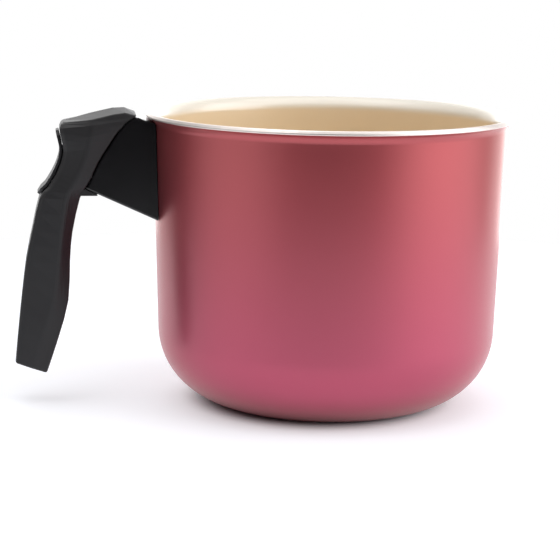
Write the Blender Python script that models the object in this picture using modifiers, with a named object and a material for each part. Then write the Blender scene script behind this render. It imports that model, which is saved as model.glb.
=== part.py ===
"""Milk pan with a flared pouring rim and a fixed jug handle.

The pan stands on z = 0 with its axis on the world's Z axis, and the handle points along -X.
The handle has a frame of its own: it starts where the wall meets the flare, level with the rim,
with +X away from the pan and +Z up. Every handle piece is a child of that frame.
"""

import math

import bmesh
import bpy
from mathutils import Vector

MM = 0.001

# Fits that all pieces share
SEAT_GAP = 0.3 * MM
CUT_OVERRUN = 3.0 * MM
MERGE_DISTANCE = 0.01 * MM
MERGE_ANGLE = math.radians(0.5)
BEVEL_ANGLE = math.radians(30.0)
SMOOTH_ANGLE = math.radians(35.0)
ROUND_STEPS = 28

# Pan: one pressed sheet
PAN_HEIGHT = 119.0 * MM
WALL_RADIUS = 72.0 * MM
WALL_TAPER = math.radians(1.7)
SHEET = 2.0 * MM
CORNER_RADIUS = 30.5 * MM
PAN_STEPS = 84
CORNER_STEPS = 9

# Flared rim with its cut edge turned outward
FLARE_ANGLE = math.radians(58.0)
FLARE_BEND = 4.0 * MM
FLARE_LAND = 1.2 * MM
LIP_ROUND = 0.45 * MM
FLARE_STEPS = 5
LIP_STEPS = 2

# Turned rings under the base
RING_COUNT = 4
RING_PITCH = 5.2 * MM
RING_WIDTH = 2.4 * MM
RING_DEPTH = 0.5 * MM
RING_FIRST_RADIUS = 15.5 * MM
RING_FLOOR_SHARE = 0.5

# Grip: the moulded handle that the hand holds
GRIP_REACH = 56.0 * MM
GRIP_DROP = 105.8 * MM
GRIP_HALF_WIDTH = 13.8 * MM
GRIP_PEAK = 1.8 * MM
GRIP_OUTER_ROUND = 2.0 * MM
CREASE_ROUND_SHARE = 0.9
INNER_ROUND_SHARE = 0.6
TOP_ROUND_SHARE = 0.3
SEAM_ROUND_SHARE = 0.2
GRIP_ROUND_STEPS = 3
ROWS_PER_STATION = 2

# One row per station, from the top of the head to the heel. Reach and drop are shares of
# GRIP_REACH and GRIP_DROP, the crease is a share of the way from the outer edge to the inner
# edge, and the half widths are shares of GRIP_HALF_WIDTH.
#    outer edge       inner edge       crease  half widths: outer, crease, inner
GRIP_STATION_SHARES = (
    ((0.645, 0.036), (0.125, 0.011), 0.36, (0.48, 0.88, 0.75)),
    ((0.672, 0.060), (0.179, 0.025), 0.44, (0.65, 0.95, 0.81)),
    ((0.656, 0.104), (0.254, 0.064), 0.49, (0.71, 1.00, 0.84)),
    ((0.644, 0.146), (0.329, 0.123), 0.54, (0.71, 0.98, 0.84)),
    ((0.665, 0.194), (0.400, 0.184), 0.59, (0.71, 0.96, 0.84)),
    ((0.704, 0.239), (0.454, 0.246), 0.59, (0.71, 0.94, 0.84)),
    ((0.754, 0.282), (0.493, 0.284), 0.61, (0.71, 0.92, 0.80)),
    ((0.814, 0.321), (0.529, 0.324), 0.66, (0.70, 0.90, 0.67)),
    ((0.870, 0.449), (0.582, 0.454), 0.74, (0.68, 0.85, 0.54)),
    ((0.916, 0.567), (0.600, 0.567), 0.75, (0.67, 0.82, 0.53)),
    ((0.950, 0.709), (0.614, 0.718), 0.70, (0.68, 0.79, 0.60)),
    ((0.975, 0.832), (0.686, 0.860), 0.62, (0.71, 0.77, 0.66)),
    ((0.998, 0.957), (0.773, 0.999), 0.52, (0.73, 0.75, 0.69)),
)
SEAM_STATIONS = 7

# The roof of the head: reach as a share of GRIP_REACH, height as a share of GRIP_PEAK, and how
# far the roof falls from its ridge to its side edge as a share of ROOF_CROWN.
ROOF_CROWN = 1.8 * MM
ROOF_SHARES = (
    (0.125, -0.42, 0.10),
    (0.165, 0.45, 0.55),
    (0.225, 1.00, 0.80),
    (0.300, 0.70, 1.00),
    (0.448, -0.40, 1.00),
    (0.560, -1.20, 0.45),
    (0.645, -2.15, 0.10),
)
BEVEL_COLUMNS = 4

# Toe of the grip, under the front of the handle base
TOE_REACH_SHARE = 0.405
TOE_TIP_THICKNESS = 0.4 * MM
TOE_INSET = 0.6 * MM

# Handle base: the wedge between the wall and the grip
BASE_HALF_WIDTH = 11.0 * MM
BASE_TOP_DROP = 2.8 * MM
BASE_TOP_REACH = 3.8 * MM
BASE_WALL_DROP = 42.5 * MM
BASE_EDGE_ROUND = 0.8 * MM
BASE_ROUND_STEPS = 2

# Fixing screw with its washers, on one axis square to the wall
SCREW_DROP = 18.5 * MM
SCREW_RADIUS = 2.5 * MM
SCREW_HEAD_RADIUS = 4.4 * MM
SCREW_HEAD_HEIGHT = 2.8 * MM
SCREW_HEAD_ROUND = 0.8 * MM
SCREW_SLOT_WIDTH = 1.2 * MM
SCREW_SLOT_DEPTH = 1.3 * MM
SCREW_TIP_CHAMFER = 0.6 * MM
SCREW_END_CLEARANCE = 1.0 * MM
WASHER_LIP = 0.5 * MM
WASHER_RADIUS = SCREW_HEAD_RADIUS + WASHER_LIP
WASHER_THICKNESS = 1.0 * MM
SPRING_WASHER_INSET = 0.2 * MM
SPRING_WASHER_RADIUS = SCREW_HEAD_RADIUS - SPRING_WASHER_INSET
SPRING_WASHER_THICKNESS = 1.2 * MM
SPRING_WASHER_SLOT = 0.8 * MM

# Tongue of the handle base, keyed into a socket in the grip
TONGUE_SIDE = 4.0 * MM
TONGUE_HALF_WIDTH = SCREW_RADIUS + TONGUE_SIDE
TONGUE_ABOVE_SCREW = 10.0 * MM
TONGUE_BELOW_SCREW = 6.0 * MM
TONGUE_TOP_DROP = SCREW_DROP - TONGUE_ABOVE_SCREW
TONGUE_BOTTOM_DROP = SCREW_DROP + TONGUE_BELOW_SCREW

# Counterbore for the head, from the thumb side of the grip: its floor is the wall that the
# screw clamps, and the plug of the thumb rest closes its mouth
COUNTERBORE_CLEARANCE = 0.5 * MM
COUNTERBORE_RADIUS = WASHER_RADIUS + COUNTERBORE_CLEARANCE
COUNTERBORE_FLOOR = 3.8 * MM
PLUG_DEPTH = 1.5 * MM

# Threaded boss and locating pin, both welded to the wall
BOSS_WALL = 2.3 * MM
BOSS_RADIUS = SCREW_RADIUS + BOSS_WALL
BOSS_FLANGE_LIP = 1.8 * MM
BOSS_FLANGE_RADIUS = BOSS_RADIUS + BOSS_FLANGE_LIP
BOSS_FLANGE_THICKNESS = 1.2 * MM
BOSS_LENGTH = 9.0 * MM
BOSS_FLOOR = 1.0 * MM
PIN_RADIUS = 2.4 * MM
PIN_FLANGE_LIP = 1.4 * MM
PIN_FLANGE_RADIUS = PIN_RADIUS + PIN_FLANGE_LIP
PIN_LENGTH = 7.0 * MM
PIN_BELOW_SCREW = 15.5 * MM
PIN_DROP = SCREW_DROP + PIN_BELOW_SCREW
PIN_CHAMFER = 0.5 * MM

# Thumb rest: a thin dished plate over the counterbore
THUMB_OVERLAP = 1.8 * MM
THUMB_HALF_WIDTH = COUNTERBORE_RADIUS + THUMB_OVERLAP
THUMB_THICKNESS = 1.2 * MM
THUMB_FLARE = 0.1 * MM
THUMB_EDGE_ROUND = 0.25 * MM
THUMB_ROUND_STEPS = 2
THUMB_PLUG_RADIUS = COUNTERBORE_RADIUS - COUNTERBORE_CLEARANCE
THUMB_FIRST_SHARE = 0.068
THUMB_LAST_SHARE = 0.316
THUMB_ROWS = 14
THUMB_COLUMNS = 4
THUMB_END_SHARE = 0.62

# Colours of the finishes: red, green, blue
RED_PEARL = (0.38, 0.06, 0.075)
HANDLE_BLACK = (0.022, 0.021, 0.023)
BASE_BLACK = (0.012, 0.011, 0.013)
ALUMINIUM = (0.72, 0.72, 0.71)
STEEL = (0.56, 0.55, 0.53)


def clear_scene():
    for old in list(bpy.data.objects):
        bpy.data.objects.remove(old, do_unlink=True)


def new_collection(name):
    made = bpy.data.collections.new(name)
    bpy.context.scene.collection.children.link(made)
    return made


def finish(name, colour, roughness, metallic):
    """A Principled material with one plain finish."""
    material = bpy.data.materials.new(name)
    material.use_nodes = True
    shader = material.node_tree.nodes["Principled BSDF"]
    shader.inputs["Base Color"].default_value = (*colour, 1.0)
    shader.inputs["Roughness"].default_value = roughness
    shader.inputs["Metallic"].default_value = metallic
    return material


def arc(centre, radius, start, end, steps):
    """Points along an arc in a profile plane, both ends included."""
    turns = [start + (end - start) * k / steps for k in range(steps + 1)]
    return [(centre[0] + radius * math.cos(t), centre[1] + radius * math.sin(t)) for t in turns]


def smooth_through(rows, steps):
    """Rows of numbers, with more rows between them on a curve that passes through each row."""
    made = []
    for k in range(len(rows) - 1):
        before = rows[max(k - 1, 0)]
        after = rows[min(k + 2, len(rows) - 1)]
        for step in range(steps):
            t = step / steps
            made.append(tuple(
                0.5 * (2 * b + (c - a) * t + (2 * a - 5 * b + 4 * c - d) * t ** 2
                       + (3 * b - a - 3 * c + d) * t ** 3)
                for a, b, c, d in zip(before, rows[k], rows[k + 1], after)
            ))
    made.append(tuple(rows[-1]))
    return made


def read_line(points, x):
    """The values of a line of rows at x, where x is the first value of each row."""
    for low, high in zip(points, points[1:]):
        if low[0] <= x <= high[0]:
            share = (x - low[0]) / (high[0] - low[0])
            return [a + (b - a) * share for a, b in zip(low[1:], high[1:])]
    nearest = min(points, key=lambda row: abs(row[0] - x))
    return list(nearest[1:])


def add_object(name, mesh, home, material=None):
    made = bpy.data.objects.new(name, mesh)
    home.objects.link(made)
    if material:
        mesh.materials.append(material)
    return made


def mesh_from(name, build):
    """A mesh filled by build(bm)."""
    bm = bmesh.new()
    build(bm)
    mesh = bpy.data.meshes.new(name)
    bm.to_mesh(mesh)
    bm.free()
    return mesh


def turned(name, profile, steps, home, material=None, closed=False):
    """A solid of revolution about Z, whose profile runs down its outer side."""
    mesh = bpy.data.meshes.new(name)
    edges = [(k, k + 1) for k in range(len(profile) - 1)]
    if closed:
        edges.append((len(profile) - 1, 0))
    mesh.from_pydata([(r, 0.0, z) for r, z in profile], edges, [])
    made = add_object(name, mesh, home, material)
    screw = made.modifiers.new("turn", "SCREW")
    screw.axis = "Z"
    screw.angle = math.tau
    screw.steps = steps
    screw.render_steps = steps
    screw.use_merge_vertices = True
    screw.merge_threshold = MERGE_DISTANCE
    screw.use_smooth_shade = True
    return made


def plate_from_outline(name, points, half_width, home, material=None):
    """A flat outline in the handle's X-Z plane, given thickness across the handle."""
    curve = bpy.data.curves.new(name, "CURVE")
    curve.dimensions = "2D"
    curve.fill_mode = "BOTH"
    curve.extrude = half_width
    spline = curve.splines.new("POLY")
    spline.points.add(len(points) - 1)
    for point, (x, z) in zip(spline.points, points):
        point.co = (x, z, 0.0, 1.0)
    spline.use_cyclic_u = True
    drawn = bpy.data.objects.new(name, curve)
    home.objects.link(drawn)
    drawn.rotation_euler = (math.pi / 2, 0.0, 0.0)
    bpy.context.view_layer.update()
    mesh = bpy.data.meshes.new_from_object(drawn.evaluated_get(bpy.context.evaluated_depsgraph_get()))
    placed = drawn.matrix_world.copy()
    bpy.data.objects.remove(drawn)
    bm = bmesh.new()
    bm.from_mesh(mesh)
    bmesh.ops.remove_doubles(bm, verts=bm.verts, dist=MERGE_DISTANCE)
    bmesh.ops.dissolve_limit(bm, angle_limit=MERGE_ANGLE, verts=bm.verts, edges=bm.edges)
    bmesh.ops.transform(bm, matrix=placed, verts=bm.verts)
    bmesh.ops.recalc_face_normals(bm, faces=bm.faces)
    bm.to_mesh(mesh)
    bm.free()
    mesh.name = name
    return add_object(name, mesh, home, material)


def block(name, low, high, home):
    """A box between two corners."""
    low, high = Vector(low), Vector(high)

    def build(bm):
        bmesh.ops.create_cube(bm, size=1.0)
        bmesh.ops.scale(bm, vec=high - low, verts=bm.verts)
        bmesh.ops.translate(bm, vec=(low + high) / 2, verts=bm.verts)

    return add_object(name, mesh_from(name, build), home)


def stepped_rod(name, lengths, drop, home):
    """Cylinders in line along +X of the handle, as (radius, start, end) from the pan outwards."""
    profile = [(0.0, lengths[-1][2])]
    for radius, start, end in reversed(lengths):
        profile += [(radius, end), (radius, start)]
    profile.append((0.0, lengths[0][1]))
    made = turned(name, profile, ROUND_STEPS, home)
    made.location.z = -drop
    made.rotation_euler = (0.0, math.pi / 2, 0.0)
    return made


def as_cutter(*tools):
    for tool in tools:
        tool.hide_render = True
        tool.display_type = "WIRE"


def boolean(piece, tool, operation):
    step = piece.modifiers.new(f"{operation.lower()}_{tool.name}", "BOOLEAN")
    step.operation = operation
    step.solver = "EXACT"
    step.object = tool
    as_cutter(tool)


def rounded(piece, width, steps, method="ANGLE"):
    bevel = piece.modifiers.new("rounded_edges", "BEVEL")
    bevel.width = width
    bevel.segments = steps
    bevel.limit_method = method
    bevel.angle_limit = BEVEL_ANGLE


def place_in(frame, *children):
    for child in children:
        child.parent = frame


def shade_smooth(*pieces):
    for piece in pieces:
        piece.data.shade_smooth()
        piece.data.set_sharp_from_angle(angle=SMOOTH_ANGLE)


class PanSheet:
    """The pan's outer face and the faces at any distance from it, as profile points."""

    def __init__(self):
        self.turn = WALL_TAPER + FLARE_ANGLE
        rise = ((FLARE_BEND + SHEET) * math.sin(self.turn) + FLARE_LAND * math.cos(self.turn)
                - FLARE_BEND * math.sin(WALL_TAPER))
        self.flare_start = PAN_HEIGHT - rise
        wall_low = CORNER_RADIUS * (1 - math.sin(WALL_TAPER))
        inset = (self.flare_start - wall_low) * math.tan(WALL_TAPER)
        self.corner_centre = (
            WALL_RADIUS - inset - CORNER_RADIUS * math.cos(WALL_TAPER),
            CORNER_RADIUS,
        )
        self.bend_centre = (
            WALL_RADIUS + FLARE_BEND * math.cos(WALL_TAPER),
            self.flare_start - FLARE_BEND * math.sin(WALL_TAPER),
        )

    def corner(self, offset):
        """From the base up to the wall, offset from the outer face."""
        return arc(self.corner_centre, CORNER_RADIUS + offset, -math.pi / 2, -WALL_TAPER, CORNER_STEPS)

    def flare(self, offset):
        """From the wall up and out to the end of the bend."""
        start = math.pi - WALL_TAPER
        return arc(self.bend_centre, FLARE_BEND - offset, start, start - FLARE_ANGLE, FLARE_STEPS)

    def lip(self, offset, beyond=0.0):
        """The end of the sheet, offset from the outer face."""
        bend_end = self.flare(offset)[-1]
        land = FLARE_LAND + beyond
        return (bend_end[0] + land * math.sin(self.turn), bend_end[1] + land * math.cos(self.turn))

    def rim(self):
        """The rounded cut edge, from the inside to the outside."""
        inner = self.lip(LIP_ROUND - SHEET, -LIP_ROUND)
        outer = self.lip(-LIP_ROUND, -LIP_ROUND)
        inward = math.pi - self.turn
        along = math.pi / 2 - self.turn
        return (arc(inner, LIP_ROUND, inward, along, LIP_STEPS)
                + arc(outer, LIP_ROUND, along, along - math.pi / 2, LIP_STEPS))

    def rings(self):
        """The underside, from the corner in to the centre, with its turned rings."""
        points = []
        mouth = RING_WIDTH / 2
        floor = mouth * RING_FLOOR_SHARE
        for k in reversed(range(RING_COUNT)):
            middle = RING_FIRST_RADIUS + k * RING_PITCH
            points += [(middle + mouth, 0.0), (middle + floor, RING_DEPTH)]
            points += [(middle - floor, RING_DEPTH), (middle - mouth, 0.0)]
        return points + [(0.0, 0.0)]

    def section(self):
        inside = [(0.0, SHEET)] + self.corner(-SHEET) + self.flare(-SHEET)
        outside = list(reversed(self.flare(0.0))) + list(reversed(self.corner(0.0)))
        return inside + self.rim() + outside + self.rings()

    def keep_clear(self):
        """What a piece on the wall has to stay out of: the pan and one seat gap round it."""
        lip = self.lip(SEAT_GAP, SEAT_GAP)
        top = PAN_HEIGHT + CUT_OVERRUN
        side = [lip] + list(reversed(self.flare(SEAT_GAP))) + list(reversed(self.corner(SEAT_GAP)))
        return [(0.0, top), (lip[0], top)] + side + [(0.0, -SEAT_GAP)]


class GripShape:
    """The lines that the grip, its neighbours and their cuts share, in the handle's X-Z plane."""

    def __init__(self):
        flat = [(*outer, *inner, crease, *widths) for outer, inner, crease, widths in GRIP_STATION_SHARES]
        self.rows = smooth_through(flat, ROWS_PER_STATION)
        self.seam_rows = (SEAM_STATIONS - 1) * ROWS_PER_STATION + 1
        self.head_top = self.reach_at([self.outer(row) for row in self.rows], -SCREW_DROP) - PLUG_DEPTH
        self.head_reach = self.head_top - SCREW_HEAD_HEIGHT
        self.spring_reach = self.head_reach - SEAT_GAP - SPRING_WASHER_THICKNESS
        self.washer_reach = self.spring_reach - SEAT_GAP - WASHER_THICKNESS
        self.bore_floor = self.washer_reach - SEAT_GAP
        self.tongue_reach = self.bore_floor - COUNTERBORE_FLOOR

    def outer(self, row):
        return (row[0] * GRIP_REACH, -row[1] * GRIP_DROP)

    def inner(self, row):
        return (row[2] * GRIP_REACH, -row[3] * GRIP_DROP)

    def flank(self, row):
        """The near flank's points in one row: outer edge, crease, then the bevel to the inner edge."""
        (x0, z0), (x1, z1) = self.outer(row), self.inner(row)
        crease = row[4]
        outer_width, crease_width, inner_width = (share * GRIP_HALF_WIDTH for share in row[5:8])
        across = [(0.0, outer_width)]
        for k in range(BEVEL_COLUMNS + 1):
            t = k / BEVEL_COLUMNS
            across.append((crease + (1 - crease) * t, crease_width + (inner_width - crease_width) * t))
        return [(x0 + (x1 - x0) * share, width, z0 + (z1 - z0) * share) for share, width in across]

    def roof(self, x):
        """Height of the ridge, and the fall from it to the side edge, at one reach."""
        line = [
            (reach * GRIP_REACH, height * GRIP_PEAK, fall * ROOF_CROWN)
            for reach, height, fall in ROOF_SHARES
        ]
        return read_line(line, x)

    def seam(self, gap):
        """The seam between grip and base, from top to bottom, moved towards the pan by gap."""
        points = [self.inner(row) for row in self.rows[:self.seam_rows]]
        return offset_line(points, [gap] * len(points))

    def thumb_line(self):
        """The grip's outer edge behind the thumb rest, from top to bottom."""
        points = [self.outer(row) for row in self.rows]
        low, high = -THUMB_LAST_SHARE * GRIP_DROP, -THUMB_FIRST_SHARE * GRIP_DROP
        falling = sorted((z, x) for x, z in points)
        heights = [high + (low - high) * k / THUMB_ROWS for k in range(THUMB_ROWS + 1)]
        return [(read_line(falling, z)[0], z) for z in heights]

    def reach_at(self, points, height):
        rising = sorted((z, x) for x, z in points)
        return read_line(rising, height)[0]


def offset_line(points, distances):
    """A line moved sideways, to the right of the way it runs where its distance is positive."""
    moved = []
    for k, ((x, z), distance) in enumerate(zip(points, distances)):
        before = Vector(points[max(k - 1, 0)])
        after = Vector(points[min(k + 1, len(points) - 1)])
        along = (after - before).normalized()
        moved.append((x + along.y * distance, z - along.x * distance))
    return moved


def grip_mesh(shape):
    """Half of the grip, open at its middle plane, with the width of each edge's round as a weight."""
    bm = bmesh.new()
    weight = bm.edges.layers.float.new("bevel_weight_edge")
    rows = [shape.flank(row) for row in shape.rows]
    roofs = [shape.roof(x) for x, _, _ in rows[0]]
    ridge = [bm.verts.new((x, 0.0, height)) for (x, _, _), (height, _) in zip(rows[0], roofs)]
    rows[0] = [(x, y, height - fall) for (x, y, _), (height, fall) in zip(rows[0], roofs)]
    flanks = [[bm.verts.new(point) for point in row] for row in rows]
    outer_middle = [ridge[0]] + [bm.verts.new((row[0][0], 0.0, row[0][2])) for row in rows[1:]]
    inner_middle = [ridge[-1]] + [bm.verts.new((row[-1][0], 0.0, row[-1][2])) for row in rows[1:]]
    heel = [bm.verts.new((x, 0.0, z)) for x, _, z in rows[-1][1:-1]]
    heel = [outer_middle[-1], *heel, inner_middle[-1]]
    columns = len(rows[0])
    for k in range(columns - 1):
        bm.faces.new((ridge[k], ridge[k + 1], flanks[0][k + 1], flanks[0][k]))
        bm.faces.new((heel[k], flanks[-1][k], flanks[-1][k + 1], heel[k + 1]))
    for upper, lower in zip(flanks, flanks[1:]):
        for k in range(columns - 1):
            bm.faces.new((upper[k], upper[k + 1], lower[k + 1], lower[k]))
    for k in range(len(rows) - 1):
        bm.faces.new((outer_middle[k], flanks[k][0], flanks[k + 1][0], outer_middle[k + 1]))
        bm.faces.new((flanks[k][-1], inner_middle[k], inner_middle[k + 1], flanks[k + 1][-1]))
    bmesh.ops.recalc_face_normals(bm, faces=bm.faces)

    def mark(line, share):
        for a, b in zip(line, line[1:]):
            bm.edges.get((a, b))[weight] = share

    mark([row[1] for row in flanks], CREASE_ROUND_SHARE)
    mark([row[0] for row in flanks], 1.0)
    mark([row[-1] for row in flanks[:shape.seam_rows]], SEAM_ROUND_SHARE)
    mark([row[-1] for row in flanks[shape.seam_rows - 1:]], INNER_ROUND_SHARE)
    mark([ridge[0]] + flanks[0][:-1], TOP_ROUND_SHARE)
    mark(flanks[0][-2:] + [ridge[-1]], SEAM_ROUND_SHARE)
    mark([outer_middle[-1]] + flanks[-1] + [inner_middle[-1]], INNER_ROUND_SHARE)
    mesh = bpy.data.meshes.new("grip")
    bm.to_mesh(mesh)
    bm.free()
    return mesh


def build_grip(shape, home, cutters, material):
    grip = add_object("grip", grip_mesh(shape), home, material)
    mirror = grip.modifiers.new("both_sides", "MIRROR")
    mirror.use_axis = (False, True, False)
    mirror.use_clip = True
    mirror.merge_threshold = MERGE_DISTANCE
    rounded(grip, GRIP_OUTER_ROUND, GRIP_ROUND_STEPS, "WEIGHT")

    under = offset_line(base_underside(shape), (SEAT_GAP, SEAT_GAP))
    tip_reach = TOE_REACH_SHARE * GRIP_REACH
    tip_top = read_line(under, tip_reach)[0]
    tip_bottom = tip_top - TOE_TIP_THICKNESS
    inside = under[1][0] + CUT_OVERRUN
    outline = [
        (tip_reach, tip_top),
        under[1],
        (inside, under[1][1]),
        (inside, tip_bottom),
        (tip_reach, tip_bottom),
    ]
    toe = plate_from_outline("grip_toe", outline, BASE_HALF_WIDTH - TOE_INSET, cutters)
    boolean(grip, toe, "UNION")

    socket = block(
        "tongue_socket",
        (0.0, -TONGUE_HALF_WIDTH - SEAT_GAP, -TONGUE_BOTTOM_DROP - SEAT_GAP),
        (shape.tongue_reach + SEAT_GAP, TONGUE_HALF_WIDTH + SEAT_GAP, -TONGUE_TOP_DROP + SEAT_GAP),
        cutters,
    )
    hole_radius = SCREW_RADIUS + SEAT_GAP
    counterbore = stepped_rod(
        "counterbore",
        [(hole_radius, 0.0, shape.bore_floor), (COUNTERBORE_RADIUS, shape.bore_floor, GRIP_REACH)],
        SCREW_DROP,
        cutters,
    )
    for tool in (socket, counterbore):
        boolean(grip, tool, "DIFFERENCE")
    return grip, (toe, socket, counterbore)


def base_underside(shape):
    """The straight underside of the handle base, from the wall to the seam."""
    return [(0.0, -BASE_WALL_DROP), shape.seam(SEAT_GAP)[-1]]


def build_base(shape, sheet, home, cutters, material):
    seam = shape.seam(SEAT_GAP)
    underside = base_underside(shape)
    inside_wall = -CUT_OVERRUN
    slope = (underside[1][1] - underside[0][1]) / (underside[1][0] - underside[0][0])
    outline = [
        (inside_wall, -BASE_WALL_DROP + inside_wall * slope),
        *reversed(seam),
        (BASE_TOP_REACH, -BASE_TOP_DROP),
        (inside_wall, -BASE_TOP_DROP),
    ]
    base = plate_from_outline("handle_base", outline, BASE_HALF_WIDTH, home, material)
    rounded(base, BASE_EDGE_ROUND, BASE_ROUND_STEPS)
    tongue = block(
        "tongue",
        (shape.reach_at(seam, -TONGUE_TOP_DROP) - CUT_OVERRUN, -TONGUE_HALF_WIDTH, -TONGUE_BOTTOM_DROP),
        (shape.tongue_reach, TONGUE_HALF_WIDTH, -TONGUE_TOP_DROP),
        cutters,
    )
    boolean(base, tongue, "UNION")
    pan_space = turned("pan_space", sheet.keep_clear(), PAN_STEPS, cutters)
    boolean(base, pan_space, "DIFFERENCE")

    flange_depth = BOSS_FLANGE_THICKNESS + SEAT_GAP
    boss_depth = BOSS_LENGTH + SEAT_GAP
    screw_way = stepped_rod(
        "screw_way",
        [
            (BOSS_FLANGE_RADIUS + SEAT_GAP, -CUT_OVERRUN, flange_depth),
            (BOSS_RADIUS + SEAT_GAP, flange_depth, boss_depth),
            (SCREW_RADIUS + SEAT_GAP, boss_depth, GRIP_REACH),
        ],
        SCREW_DROP,
        cutters,
    )
    pin_way = stepped_rod(
        "pin_way",
        [
            (PIN_FLANGE_RADIUS + SEAT_GAP, -CUT_OVERRUN, flange_depth),
            (PIN_RADIUS + SEAT_GAP, flange_depth, PIN_LENGTH + SEAT_GAP),
        ],
        PIN_DROP,
        cutters,
    )
    for tool in (screw_way, pin_way):
        boolean(base, tool, "DIFFERENCE")
    return base, (tongue, screw_way, pin_way), pan_space


def build_boss(pan_space, home, material):
    """The threaded boss: a flange on the wall and a bored spigot that the screw enters."""
    bore = SCREW_RADIUS + SEAT_GAP
    profile = [
        (0.0, BOSS_FLOOR),
        (bore, BOSS_FLOOR),
        (bore, BOSS_LENGTH),
        (BOSS_RADIUS, BOSS_LENGTH),
        (BOSS_RADIUS, BOSS_FLANGE_THICKNESS),
        (BOSS_FLANGE_RADIUS, BOSS_FLANGE_THICKNESS),
        (BOSS_FLANGE_RADIUS, -CUT_OVERRUN),
        (0.0, -CUT_OVERRUN),
    ]
    boss = turned("threaded_boss", profile, ROUND_STEPS, home, material)
    boss.location = (0.0, 0.0, -SCREW_DROP)
    boolean(boss, pan_space, "DIFFERENCE")
    return boss


def build_pin(pan_space, home, material):
    """The locating pin below the boss, which stops the handle from turning round the screw."""
    profile = [
        (0.0, PIN_LENGTH),
        (PIN_RADIUS - PIN_CHAMFER, PIN_LENGTH),
        (PIN_RADIUS, PIN_LENGTH - PIN_CHAMFER),
        (PIN_RADIUS, BOSS_FLANGE_THICKNESS),
        (PIN_FLANGE_RADIUS, BOSS_FLANGE_THICKNESS),
        (PIN_FLANGE_RADIUS, -CUT_OVERRUN),
        (0.0, -CUT_OVERRUN),
    ]
    pin = turned("locating_pin", profile, ROUND_STEPS, home, material)
    pin.location = (0.0, 0.0, -PIN_DROP)
    boolean(pin, pan_space, "DIFFERENCE")
    return pin


def ring_profile(outer, inner, thickness):
    """The closed profile of a plain ring, standing on z = 0."""
    return [(inner, 0.0), (inner, thickness), (outer, thickness), (outer, 0.0)]


def build_screw(shape, home, cutters, material):
    tip = BOSS_FLOOR + SCREW_END_CLEARANCE - shape.head_reach
    top = SCREW_HEAD_HEIGHT
    profile = [
        (0.0, top),
        (SCREW_HEAD_RADIUS - SCREW_HEAD_ROUND, top),
        (SCREW_HEAD_RADIUS, top - SCREW_HEAD_ROUND),
        (SCREW_HEAD_RADIUS, 0.0),
        (SCREW_RADIUS, 0.0),
        (SCREW_RADIUS, tip + SCREW_TIP_CHAMFER),
        (SCREW_RADIUS - SCREW_TIP_CHAMFER, tip),
        (0.0, tip),
    ]
    screw = turned("fixing_screw", profile, ROUND_STEPS, home, material)
    screw.location = (shape.head_reach, 0.0, -SCREW_DROP)
    across = SCREW_HEAD_RADIUS + CUT_OVERRUN
    half = SCREW_SLOT_WIDTH / 2
    slot = block(
        "screw_slot",
        (shape.head_top - SCREW_SLOT_DEPTH, -across, -SCREW_DROP - half),
        (shape.head_top + CUT_OVERRUN, across, -SCREW_DROP + half),
        cutters,
    )
    boolean(screw, slot, "DIFFERENCE")
    return screw, slot


def build_washers(shape, home, cutters, material):
    bore = SCREW_RADIUS + SEAT_GAP
    washer_profile = ring_profile(WASHER_RADIUS, bore, WASHER_THICKNESS)
    washer = turned("flat_washer", washer_profile, ROUND_STEPS, home, material, closed=True)
    washer.location = (shape.washer_reach, 0.0, -SCREW_DROP)
    spring_profile = ring_profile(SPRING_WASHER_RADIUS, bore, SPRING_WASHER_THICKNESS)
    spring = turned("spring_washer", spring_profile, ROUND_STEPS, home, material, closed=True)
    spring.location = (shape.spring_reach, 0.0, -SCREW_DROP)
    above = SPRING_WASHER_RADIUS + CUT_OVERRUN - SCREW_DROP
    half = SPRING_WASHER_SLOT / 2
    slot = block(
        "spring_washer_slot",
        (shape.spring_reach - CUT_OVERRUN, -half, -SCREW_DROP),
        (shape.spring_reach + CUT_OVERRUN, half, above),
        cutters,
    )
    boolean(spring, slot, "DIFFERENCE")
    return washer, spring, slot


def build_thumb_rest(shape, home, cutters, material):
    """A dished plate along the grip's outer edge, with a plug that closes the counterbore."""
    line = shape.thumb_line()
    ends = [abs(2 * k / THUMB_ROWS - 1) for k in range(THUMB_ROWS + 1)]
    back = offset_line(line, [-SEAT_GAP - THUMB_FLARE * end ** 3 for end in ends])
    halves = [THUMB_END_SHARE + (1 - THUMB_END_SHARE) * math.sqrt(1 - end ** 4) for end in ends]
    sides = [2 * c / THUMB_COLUMNS - 1 for c in range(THUMB_COLUMNS + 1)]

    def build(bm):
        grid = [
            [bm.verts.new((x, THUMB_HALF_WIDTH * half * side, z)) for side in sides]
            for (x, z), half in zip(back, halves)
        ]
        for upper, lower in zip(grid, grid[1:]):
            for c in range(THUMB_COLUMNS):
                bm.faces.new((upper[c], lower[c], lower[c + 1], upper[c + 1]))

    plate = add_object("thumb_rest", mesh_from("thumb_rest", build), home, material)
    solid = plate.modifiers.new("plate_thickness", "SOLIDIFY")
    solid.thickness = THUMB_THICKNESS
    solid.offset = 1.0
    solid.use_even_offset = True
    rounded(plate, THUMB_EDGE_ROUND, THUMB_ROUND_STEPS)

    beyond = GRIP_REACH + CUT_OVERRUN
    plug_length = [(THUMB_PLUG_RADIUS, shape.head_top + SEAT_GAP, beyond)]
    plug = stepped_rod("thumb_plug", plug_length, SCREW_DROP, cutters)
    middle = offset_line(back, [-THUMB_THICKNESS / 2] * len(back))
    outline = [*middle, (beyond + CUT_OVERRUN, middle[-1][1]), (beyond + CUT_OVERRUN, middle[0][1])]
    outside = plate_from_outline("thumb_plug_end", outline, THUMB_PLUG_RADIUS + CUT_OVERRUN, cutters)
    boolean(plug, outside, "DIFFERENCE")
    boolean(plate, plug, "UNION")
    return plate, (plug, outside)


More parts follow.
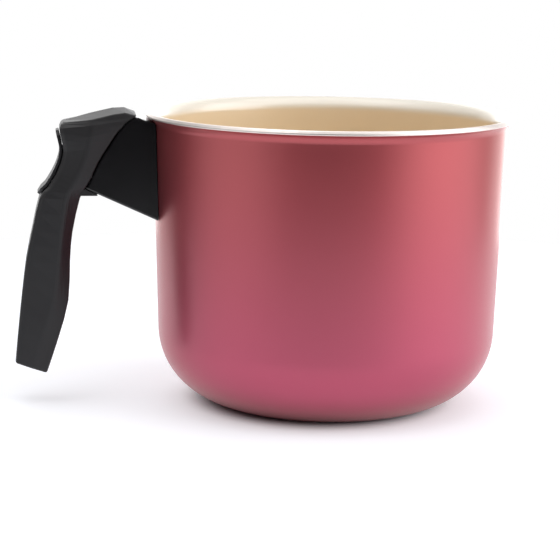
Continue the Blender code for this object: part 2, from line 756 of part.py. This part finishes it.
def main():
    clear_scene()
    parts = new_collection("milk_pan")
    cutters = new_collection("milk_pan_cutters")
    pearl = finish("red_pearl_enamel", RED_PEARL, 0.28, 0.6)
    soft_black = finish("soft_touch_black", HANDLE_BLACK, 0.5, 0.0)
    base_black = finish("moulded_black", BASE_BLACK, 0.42, 0.0)
    aluminium = finish("bare_aluminium", ALUMINIUM, 0.35, 1.0)
    steel = finish("zinc_steel", STEEL, 0.3, 1.0)

    sheet = PanSheet()
    shape = GripShape()
    pan = turned("pan_body", sheet.section(), PAN_STEPS, parts, pearl)

    handle_frame = bpy.data.objects.new("handle_frame", None)
    parts.objects.link(handle_frame)
    handle_frame.location = (-WALL_RADIUS, 0.0, PAN_HEIGHT)
    handle_frame.rotation_euler = (0.0, 0.0, math.pi)

    grip, grip_tools = build_grip(shape, parts, cutters, soft_black)
    base, base_tools, pan_space = build_base(shape, sheet, parts, cutters, base_black)
    boss = build_boss(pan_space, parts, aluminium)
    pin = build_pin(pan_space, parts, aluminium)
    screw, screw_slot = build_screw(shape, parts, cutters, steel)
    washer, spring, spring_slot = build_washers(shape, parts, cutters, steel)
    thumb, thumb_tools = build_thumb_rest(shape, parts, cutters, soft_black)

    for piece in (boss, pin, screw, washer, spring):
        piece.rotation_euler = (0.0, math.pi / 2, 0.0)
    place_in(handle_frame, grip, base, boss, pin, screw, washer, spring, thumb)
    place_in(handle_frame, *grip_tools, *base_tools, screw_slot, spring_slot, *thumb_tools)
    shade_smooth(pan, grip, base, boss, pin, screw, washer, spring, thumb)
    bpy.context.view_layer.update()


main()
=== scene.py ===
"""The look of the milk pan: a finer pan sheet, finishes for every piece, a pale floor and a soft studio.

Lengths are in metres. The part stands on z = 0 with its handle along -X.
"""

import math

import bpy
import bmesh
from mathutils import Matrix, Vector


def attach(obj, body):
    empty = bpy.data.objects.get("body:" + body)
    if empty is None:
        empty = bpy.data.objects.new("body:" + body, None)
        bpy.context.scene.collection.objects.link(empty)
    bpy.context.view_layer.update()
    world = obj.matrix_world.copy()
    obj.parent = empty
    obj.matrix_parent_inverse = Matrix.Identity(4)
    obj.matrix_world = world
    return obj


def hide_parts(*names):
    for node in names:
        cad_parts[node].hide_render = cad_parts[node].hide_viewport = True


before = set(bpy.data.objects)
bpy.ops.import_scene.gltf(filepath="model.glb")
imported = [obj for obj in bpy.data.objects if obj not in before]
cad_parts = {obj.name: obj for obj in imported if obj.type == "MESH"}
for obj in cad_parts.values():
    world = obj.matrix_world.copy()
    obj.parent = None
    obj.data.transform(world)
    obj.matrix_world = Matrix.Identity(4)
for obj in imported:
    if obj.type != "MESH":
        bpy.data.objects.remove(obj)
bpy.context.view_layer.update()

MM = 0.001

# The pan's sheet, as in the part's source
PAN_HEIGHT = 119.0 * MM
WALL_RADIUS = 72.0 * MM
WALL_TAPER = math.radians(1.7)
SHEET = 2.0 * MM
CORNER_RADIUS = 30.5 * MM
FLARE_ANGLE = math.radians(58.0)
FLARE_BEND = 4.0 * MM
FLARE_LAND = 1.2 * MM
LIP_ROUND = 0.45 * MM
RING_COUNT = 4
RING_PITCH = 5.2 * MM
RING_WIDTH = 2.4 * MM
RING_DEPTH = 0.5 * MM
RING_FIRST_RADIUS = 15.5 * MM
RING_FLOOR_SHARE = 0.5

# How finely the visible pan is made
PAN_STEPS = 256
CORNER_STEPS = 40
WALL_STEPS = 24
FLARE_STEPS = 14
LIP_STEPS = 5

# Heights: below the first the enamel is darkened, a painted shade for the reflected contact shadow;
# between the other two the ceramic turns paler, painted light over the lit flare
PAINTED_SHADE_TO = 18.0 * MM
PAINTED_LIGHT_FROM, PAINTED_LIGHT_TO = 112.5 * MM, 116.0 * MM

# Colours. Where there are two, the finish drifts between them.
# The first is a painted shade round the enamel's foot, standing for the reflected contact shadow
ENAMEL_PAINTED_SHADE = (0.29, 0.046, 0.072)
ENAMEL_LOW = (0.435, 0.0675, 0.129), (0.49, 0.0785, 0.147)
ENAMEL_HIGH = (0.425, 0.077, 0.087), (0.48, 0.089, 0.0995)
ENAMEL_EDGE_TINT = (1.0, 0.86, 0.78)
CREAM = (0.85, 0.68, 0.455), (0.87, 0.70, 0.475)
# painted light: the paler cream of the lit flare
CREAM_FLARE_PAINTED_LIGHT = (0.93, 0.88, 0.78)
CUT_EDGE = (0.89, 0.81, 0.77)
TURNED_BASE = (0.78, 0.78, 0.78)
BARE_METAL = (0.72, 0.72, 0.71)
ZINC = (0.60, 0.59, 0.56), (0.48, 0.47, 0.46)
SOFT_BLACK = (0.0135, 0.0125, 0.014), (0.0165, 0.0155, 0.017)
HARD_BLACK = (0.004, 0.0036, 0.0044), (0.005, 0.0045, 0.0055)
PAPER = (0.77, 0.80, 0.85), (0.78, 0.81, 0.86)
BLACK, WHITE = (0.0, 0.0, 0.0), (1.0, 1.0, 1.0)
# The turned metal is this much darker where it is smeared
SMEAR_SHADE = 0.88

# Sizes of the patterns in the finishes
ENAMEL_CLOUD = 40.0 * MM
ENAMEL_FLAKE = 0.28 * MM
ENAMEL_PEEL = 1.2 * MM
CERAMIC_DRIFT = 30.0 * MM
CERAMIC_PEEL = 1.6 * MM
CERAMIC_SPECK = 0.35 * MM
TURNED_WAVER = 6.0 * MM
TURNED_SMEAR = 3.0 * MM
PLASTIC_HANDLING = 14.0 * MM
ZINC_SMEAR = 2.0 * MM
ZINC_GRAIN = 0.3 * MM
PAPER_CLOUD = 100.0 * MM

# How deep their relief is
ENAMEL_RELIEF = 0.004 * MM
CERAMIC_RELIEF = 0.02 * MM
TURNED_RELIEF = 0.006 * MM
ZINC_RELIEF = 0.004 * MM

# The photograph's camera: turned round the pan by the handle's angle to the picture
CAMERA_TURN = math.radians(-8.8)
CAMERA_PITCH = math.radians(10.77)
CAMERA_YAW = math.radians(-1.5)
CAMERA_ROLL = math.radians(0.92)
CAMERA_DISTANCE = 0.7342
CAMERA_HEIGHT = 0.1884
FOCAL_PIXELS = 1800.0
FRAME_PIXELS = 560.0
SENSOR_WIDTH_MM = 36.0

# The floor glows a little brighter than lit paper, except in a round patch round the pan's foot: a
# painted shadow, which fades between two radii, with its middle a little to the left of the pan's.
FLOOR_RADIUS = 0.42
FLOOR_SIDES = 128
FLOOR_LIFT = 0.38
PAINTED_SHADOW_INNER, PAINTED_SHADOW_OUTER = 44.0 * MM, 58.0 * MM
PAINTED_SHADOW_SHIFT = 3.0 * MM

# Soft boxes as place, width and watts, all aimed at the pan
BOX_AIM = (0.0, 0.0, 0.05)
TOP_BOX = (0.0, -0.2, 1.03), 1.1, 5.0
RIGHT_BOX = (0.85, -0.18, 0.56), 0.94, 4.9

# How bright the room is between its glows
ROOM_BASE = 0.02
# The backdrop ends between these two nearnesses to straight behind the pan
BACKDROP_EDGE = (0.5, 0.7)

# The bright parts of the room as degrees from the back round to the right, degrees above the table,
# strength, and how near its middle a direction has to be to see it
ROOM_GLOWS = (
    (356.0, 8.0, 2.6, 0.7),
    (30.0, -5.0, 1.5, 0.85),
    (100.0, -4.0, 1.5, 0.65),
    (95.0, 42.0, 0.35, 0.75),
    (243.0, -20.0, 1.12, 0.75),
    (238.0, 48.0, 1.05, 0.85),
    (300.0, 55.0, 0.85, 0.7),
)


class Wire:
    """A socket in a material that can be reckoned with like a number."""

    def __init__(self, tree, socket):
        self.tree = tree
        self.socket = socket

    def math(self, operation, *values, clamp=False):
        settings = {"operation": operation, "use_clamp": clamp}
        return add_node(self.tree, "ShaderNodeMath", settings, dict(enumerate(values)))

    def __add__(self, other):
        return self.math("ADD", self, other)

    def __sub__(self, other):
        return self.math("SUBTRACT", self, other)

    def __rsub__(self, other):
        return self.math("SUBTRACT", other, self)

    def __mul__(self, other):
        return self.math("MULTIPLY", self, other)

    def __pow__(self, other):
        return self.math("POWER", self, other)

    def __rpow__(self, other):
        return self.math("POWER", other, self)

    __radd__ = __add__
    __rmul__ = __mul__

    def sine(self):
        return self.math("SINE", self)

    def at_least(self, other):
        return self.math("MAXIMUM", self, other)

    def clamped(self):
        return self.math("ADD", self, 0.0, clamp=True)

    def between(self, low, high, start=0.0, end=1.0):
        """Eases from start to end as this value goes from low to high."""
        return add_node(
            self.tree, "ShaderNodeMapRange", {"interpolation_type": "SMOOTHSTEP"},
            {"Value": self, "From Min": low, "From Max": high, "To Min": start, "To Max": end},
        )


def connect(tree, socket, value):
    """Puts a wire, a number, a vector or a colour into a socket."""
    if isinstance(value, Wire):
        tree.links.new(value.socket, socket)
    elif socket.type == "RGBA":
        socket.default_value = (*value, 1.0)
    else:
        socket.default_value = value


def add_node(tree, kind, settings, values, output=0):
    """One node: its settings first, then what goes into its sockets."""
    made = tree.nodes.new(kind)
    for name, value in settings.items():
        setattr(made, name, value)
    for name, value in values.items():
        connect(tree, made.inputs[name], value)
    return Wire(tree, made.outputs[output])


def ray_kinds(tree):
    """Whether a ray comes from the camera, from a reflection or through a clear piece, as three wires."""
    return [
        add_node(tree, "ShaderNodeLightPath", {}, {}, f"Is {kind} Ray")
        for kind in ("Camera", "Glossy", "Transmission")
    ]


def distance(across, along):
    """How far a place is from the upright axis."""
    return (across * across + along * along) ** 0.5


class Finish:
    """A material with one Principled shader, built up from wires."""

    def __init__(self, name, **plain):
        self.material = bpy.data.materials.new(name)
        self.material.use_nodes = True
        self.tree = self.material.node_tree
        self.shader = self.tree.nodes["Principled BSDF"]
        self.set(**plain)

    def set(self, **values):
        for name, value in values.items():
            connect(self.tree, self.shader.inputs[name.replace("_", " ")], value)

    def node(self, kind, settings, values, output=0):
        return add_node(self.tree, kind, settings, values, output)

    def seen(self):
        """1 to the camera and to reflections, 0 to soft light."""
        camera, glossy, clear = ray_kinds(self.tree)
        return (camera + glossy + clear).clamped()

    def place(self):
        return self.node("ShaderNodeTexCoord", {}, {}, "Object")

    def axes(self):
        split = self.node("ShaderNodeSeparateXYZ", {}, {"Vector": self.place()}).socket.node
        return [Wire(self.tree, out) for out in split.outputs]

    def steps_of(self, size):
        """The place, counted in steps of this size."""
        return self.node(
            "ShaderNodeVectorMath", {"operation": "MULTIPLY"}, {0: self.place(), 1: (1 / size,) * 3},
        )

    def noise(self, size, detail, roughness=0.5):
        """Soft random values whose blotches are about size across."""
        return self.node(
            "ShaderNodeTexNoise", {},
            {"Vector": self.steps_of(size), "Scale": 1.0, "Detail": detail, "Roughness": roughness},
        )

    def flakes(self, size):
        """Cells about size across, each with its own random value."""
        cells = self.node(
            "ShaderNodeTexVoronoi", {}, {"Vector": self.steps_of(size), "Scale": 1.0}, "Color",
        )
        return self.node("ShaderNodeSeparateColor", {}, {"Color": cells})

    def blend(self, share, first, second):
        return self.node(
            "ShaderNodeMix", {"data_type": "RGBA"}, {0: share, 6: first, 7: second}, 2,
        )

    def bump(self, height, distance):
        return self.node("ShaderNodeBump", {}, {"Height": height, "Distance": distance})


def pearl_enamel():
    """Metallic enamel under a soft clear coat, with fine flakes and faint clouds.

    It goes from a bluish red low down to coral red at the rim, is darkened round the base by a
    painted shade for the reflected contact shadow, and is more orange where it is seen along its surface.
    """
    paint = Finish(
        "red_pearl_enamel", Metallic=0.9, Coat_Weight=0.6, Coat_Roughness=0.25,
        Specular_Tint=ENAMEL_EDGE_TINT,
    )
    _, _, height = paint.axes()
    rise = height.between(0.0, PAN_HEIGHT)
    cloud = paint.noise(ENAMEL_CLOUD, 2.0)
    flake = paint.flakes(ENAMEL_FLAKE)
    peel = paint.noise(ENAMEL_PEEL, 2.0)
    deep, pale = [paint.blend(rise, low, high) for low, high in zip(ENAMEL_LOW, ENAMEL_HIGH)]
    body = paint.blend((cloud * 0.5 + flake * 0.3).clamped(), deep, pale)
    paint.set(
        # darker towards the base: a painted shade for the reflected contact shadow
        Base_Color=paint.blend(height.between(0.0, PAINTED_SHADE_TO), ENAMEL_PAINTED_SHADE, body),
        Roughness=0.39 + flake * 0.06 + cloud * 0.04,
        Normal=paint.bump(flake + peel * 2.0, ENAMEL_RELIEF),
    )
    return paint.material


def cream_ceramic():
    """Warm cream ceramic coating: glossy, with the slight orange peel of a sprayed coat.

    It is painted paler over the flare: painted light where the flare is lit.
    """
    coat = Finish("cream_ceramic", Coat_Weight=1.0, Coat_Roughness=0.12)
    _, _, height = coat.axes()
    drift = coat.noise(CERAMIC_DRIFT, 2.0)
    speck = coat.noise(CERAMIC_SPECK, 1.0)
    cream = coat.blend(drift.between(0.3, 0.7), *CREAM)
    coat.set(
        # paler over the flare: painted light
        Base_Color=coat.blend(height.between(PAINTED_LIGHT_FROM, PAINTED_LIGHT_TO), cream, CREAM_FLARE_PAINTED_LIGHT),
        Roughness=0.26 + speck * 0.08 + drift * 0.05,
        Normal=coat.bump(coat.noise(CERAMIC_PEEL, 2.0), CERAMIC_RELIEF),
    )
    return coat.material


def turned_aluminium(name, groove, colour):
    """Bare aluminium with the fine circles that a turning tool leaves, one groove apart."""
    metal = Finish(name, Metallic=1.0)
    across, along, height = metal.axes()
    waver = metal.noise(TURNED_WAVER, 2.0)
    smear = metal.noise(TURNED_SMEAR, 3.0)
    travel = distance(across, along) + height + waver * (groove * 0.3)
    circles = (travel * (math.tau / groove)).sine()
    metal.set(
        Base_Color=metal.blend(smear, colour, tuple(part * SMEAR_SHADE for part in colour)),
        Roughness=0.34 + smear * 0.16,
        Normal=metal.bump(circles + smear, TURNED_RELIEF),
    )
    return metal.material


def moulded_black(name, colours, roughness, grain, depth):
    """Black moulded plastic with a fine eroded grain, paler where it is handled."""
    plastic = Finish(name)
    pits = plastic.noise(grain, 3.0, roughness=0.6)
    handling = plastic.noise(PLASTIC_HANDLING, 3.0)
    plastic.set(
        Base_Color=plastic.blend(handling.between(0.35, 0.65), *colours),
        Roughness=roughness + handling * 0.08 + pits * 0.05,
        Normal=plastic.bump(pits, depth),
    )
    return plastic.material


def zinc_steel():
    steel = Finish("zinc_steel", Metallic=1.0)
    smear = steel.noise(ZINC_SMEAR, 3.0)
    steel.set(
        Base_Color=steel.blend(smear, *ZINC),
        Roughness=0.24 + smear * 0.2,
        Normal=steel.bump(steel.noise(ZINC_GRAIN, 2.0), ZINC_RELIEF),
    )
    return steel.material


def on_circle(centre, radius, turn):
    return (centre[0] + radius * math.cos(turn), centre[1] + radius * math.sin(turn))


def arc(centre, radius, start, end, steps):
    """Points on a circle from start to end, with both ends."""
    return [on_circle(centre, radius, start + (end - start) * k / steps) for k in range(steps + 1)]


def line(start, end, steps):
    """Points from start to end, without either end."""
    return [
        tuple(first + (last - first) * k / steps for first, last in zip(start, end))
        for k in range(1, steps)
    ]


def ring_grooves():
    """The profile of the grooves under the base, from the outermost inwards."""
    grooves = []
    flat = RING_WIDTH * RING_FLOOR_SHARE
    for k in reversed(range(RING_COUNT)):
        middle = RING_FIRST_RADIUS + k * RING_PITCH
        grooves += [(middle + RING_WIDTH / 2, 0.0), (middle + flat / 2, RING_DEPTH)]
        grooves += [(middle - flat / 2, RING_DEPTH), (middle - RING_WIDTH / 2, 0.0)]
    return grooves


def pan_section():
    """The pan's profile as name of the finish and points, from the middle of the floor to the base's."""
    turn = WALL_TAPER + FLARE_ANGLE
    bend_drop = FLARE_BEND * math.sin(WALL_TAPER)
    flare_rise = (FLARE_BEND + SHEET) * math.sin(turn) + FLARE_LAND * math.cos(turn) - bend_drop
    flare_start = PAN_HEIGHT - flare_rise
    inset = (flare_start - CORNER_RADIUS * (1 - math.sin(WALL_TAPER))) * math.tan(WALL_TAPER)
    corner_centre = (WALL_RADIUS - inset - CORNER_RADIUS * math.cos(WALL_TAPER), CORNER_RADIUS)
    bend_centre = (WALL_RADIUS + FLARE_BEND * math.cos(WALL_TAPER), flare_start - bend_drop)
    bend_from = math.pi - WALL_TAPER
    bend_to = bend_from - FLARE_ANGLE

    def side(offset):
        corner = arc(corner_centre, CORNER_RADIUS + offset, -math.pi / 2, -WALL_TAPER, CORNER_STEPS)
        flare = arc(bend_centre, FLARE_BEND - offset, bend_from, bend_to, FLARE_STEPS)
        return corner + line(corner[-1], flare[0], WALL_STEPS) + flare

    def lip_centre(offset):
        end = on_circle(bend_centre, FLARE_BEND - offset, bend_to)
        land = FLARE_LAND - LIP_ROUND
        return (end[0] + land * math.sin(turn), end[1] + land * math.cos(turn))

    inward, along = math.pi - turn, math.pi / 2 - turn
    inner_round = arc(lip_centre(LIP_ROUND - SHEET), LIP_ROUND, inward, along, LIP_STEPS)
    outer_round = arc(lip_centre(-LIP_ROUND), LIP_ROUND, along, along - math.pi / 2, LIP_STEPS)
    outside = list(reversed(side(0.0)))
    return [
        ("ceramic", [(0.0, SHEET)] + side(-SHEET) + inner_round[:1]),
        ("lip", inner_round + outer_round),
        ("enamel", outer_round[-1:] + outside),
        ("base", outside[-1:] + ring_grooves() + [(0.0, 0.0)]),
    ]


def build_pan(finishes):
    """The pan sheet turned about Z, one band of faces for each finish."""
    bm = bmesh.new()
    angles = [math.tau * k / PAN_STEPS for k in range(PAN_STEPS)]

    def ring(radius, height):
        if radius == 0:
            return [bm.verts.new((0.0, 0.0, height))]
        return [bm.verts.new((radius * math.cos(a), radius * math.sin(a), height)) for a in angles]

    def join(last, made, slot):
        """Faces between two rings, either of which may be a single point on the axis."""
        for k in range(PAN_STEPS):
            after = (k + 1) % PAN_STEPS
            if len(last) == 1:
                corners = (last[0], made[k], made[after])
            elif len(made) == 1:
                corners = (last[k], made[0], last[after])
            else:
                corners = (last[k], made[k], made[after], last[after])
            face = bm.faces.new(corners)
            face.smooth = True
            face.material_index = slot

    mesh = bpy.data.meshes.new("pan_sheet")
    last = None
    for slot, (name, points) in enumerate(pan_section()):
        mesh.materials.append(finishes[name])
        for point in points[1:] if last else points:
            made = ring(*point)
            if last:
                join(last, made, slot)
            last = made
    bmesh.ops.recalc_face_normals(bm, faces=bm.faces)
    bm.to_mesh(mesh)
    bm.free()
    pan = bpy.data.objects.new("pan_sheet", mesh)
    bpy.context.scene.collection.objects.link(pan)
    return pan


def set_finish(material, *nodes):
    """Gives CAD nodes their finish."""
    for node in nodes:
        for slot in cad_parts[node].material_slots:
            slot.material = material


def studio_turn():
    """Turns what is placed as seen from the camera into the part's own axes."""
    return Matrix.Rotation(CAMERA_TURN, 4, "Z")


def add_camera():
    forward = Vector((
        math.sin(CAMERA_YAW) * math.cos(CAMERA_PITCH),
        math.cos(CAMERA_YAW) * math.cos(CAMERA_PITCH),
        -math.sin(CAMERA_PITCH),
    ))
    level = Vector((math.cos(CAMERA_YAW), -math.sin(CAMERA_YAW), 0.0))
    upright = level.cross(forward)
    right = math.cos(CAMERA_ROLL) * level + math.sin(CAMERA_ROLL) * upright
    up = math.cos(CAMERA_ROLL) * upright - math.sin(CAMERA_ROLL) * level
    place = Matrix((right, up, -forward)).transposed().to_4x4()
    place.translation = (0.0, -CAMERA_DISTANCE, CAMERA_HEIGHT)
    lens = bpy.data.cameras.new("camera")
    lens.sensor_width = SENSOR_WIDTH_MM
    lens.lens = FOCAL_PIXELS / FRAME_PIXELS * SENSOR_WIDTH_MM
    camera = bpy.data.objects.new("camera", lens)
    camera.matrix_world = studio_turn() @ place
    bpy.context.scene.collection.objects.link(camera)
    bpy.context.scene.camera = camera


def add_soft_box(name, place, width, watts):
    """A square soft box aimed at the pan, with its place as seen from the camera."""
    lamp = bpy.data.lights.new(name, "AREA")
    lamp.shape = "SQUARE"
    lamp.size = width
    lamp.energy = watts
    box = bpy.data.objects.new(name, lamp)
    where = Vector(place)
    facing = (Vector(BOX_AIM) - where).to_track_quat("-Z", "Y").to_matrix().to_4x4()
    box.matrix_world = studio_turn() @ Matrix.Translation(where) @ facing
    box.visible_camera = False
    bpy.context.scene.collection.objects.link(box)


def add_floor():
    """A round sheet of pale paper that camera and reflections see as white, with the soft shadow kept and
    a painted shadow round the pan's foot.
    """
    bm = bmesh.new()
    bmesh.ops.create_circle(bm, cap_ends=True, segments=FLOOR_SIDES, radius=FLOOR_RADIUS)
    mesh = bpy.data.meshes.new("floor")
    bm.to_mesh(mesh)
    bm.free()
    floor = bpy.data.objects.new("floor", mesh)
    bpy.context.scene.collection.objects.link(floor)
    paper = Finish("floor_paper", Roughness=0.9, Specular_IOR_Level=0.1, Emission_Strength=1.0)
    across, along, _ = paper.axes()
    # the floor's glow fades out near the pan's foot: a painted shadow
    from_painted_shadow = distance(across + PAINTED_SHADOW_SHIFT, along)
    glow_with_painted_shadow = from_painted_shadow.between(PAINTED_SHADOW_INNER, PAINTED_SHADOW_OUTER, 0.0, FLOOR_LIFT) * paper.seen()
    paper.set(
        Base_Color=paper.blend(paper.noise(PAPER_CLOUD, 2.0), *PAPER),
        Emission_Color=paper.blend(glow_with_painted_shadow, BLACK, WHITE),
    )
    mesh.materials.append(paper.material)


def add_world():
    """White to the camera, with a white backdrop in reflections, in a dark room with a few soft glows."""
    world = bpy.data.worlds.new("studio")
    bpy.context.scene.world = world
    world.use_nodes = True
    tree = world.node_tree
    way = add_node(tree, "ShaderNodeTexCoord", {}, {}, "Generated")

    def nearness(turn, rise):
        """1 straight at this turn and rise, falling to 0 at a right angle to it."""
        turn, rise = math.radians(turn), math.radians(rise)
        level = math.cos(rise)
        middle = Vector((level * math.sin(turn), level * math.cos(turn), math.sin(rise)))
        return add_node(
            tree, "ShaderNodeVectorMath", {"operation": "DOT_PRODUCT"},
            {0: way, 1: tuple(studio_turn() @ middle)}, "Value",
        )

    glow = ROOM_BASE
    for turn, rise, strength, edge in ROOM_GLOWS:
        glow = glow + nearness(turn, rise).between(edge, 1.0, 0.0, strength)
    camera, glossy, clear = ray_kinds(tree)
    backdrop = nearness(0.0, 0.0).between(*BACKDROP_EDGE) * (glossy + clear).clamped()
    room = glow.at_least(backdrop)
    connect(tree, tree.nodes["Background"].inputs["Color"], camera + (1 - camera) * room)


pan = build_pan({
    "ceramic": cream_ceramic(),
    "lip": turned_aluminium("cut_edge", 0.25 * MM, CUT_EDGE),
    "enamel": pearl_enamel(),
    "base": turned_aluminium("turned_base", 0.6 * MM, TURNED_BASE),
})
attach(pan, "root")
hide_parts("pan_body")

soft_touch = moulded_black(
    "soft_touch_black", SOFT_BLACK, roughness=0.45, grain=0.35 * MM, depth=0.01 * MM,
)
hard_black = moulded_black(
    "moulded_black", HARD_BLACK, roughness=0.17, grain=0.6 * MM, depth=0.0012 * MM,
)
set_finish(soft_touch, "grip", "thumb_rest")
set_finish(hard_black, "handle_base")
set_finish(turned_aluminium("bare_aluminium", 0.4 * MM, BARE_METAL), "threaded_boss", "locating_pin")
set_finish(zinc_steel(), "fixing_screw", "flat_washer", "spring_washer")

bpy.context.scene.view_settings.view_transform = "Standard"
add_camera()
add_floor()
add_world()
add_soft_box("top_box", *TOP_BOX)
add_soft_box("right_box", *RIGHT_BOX)
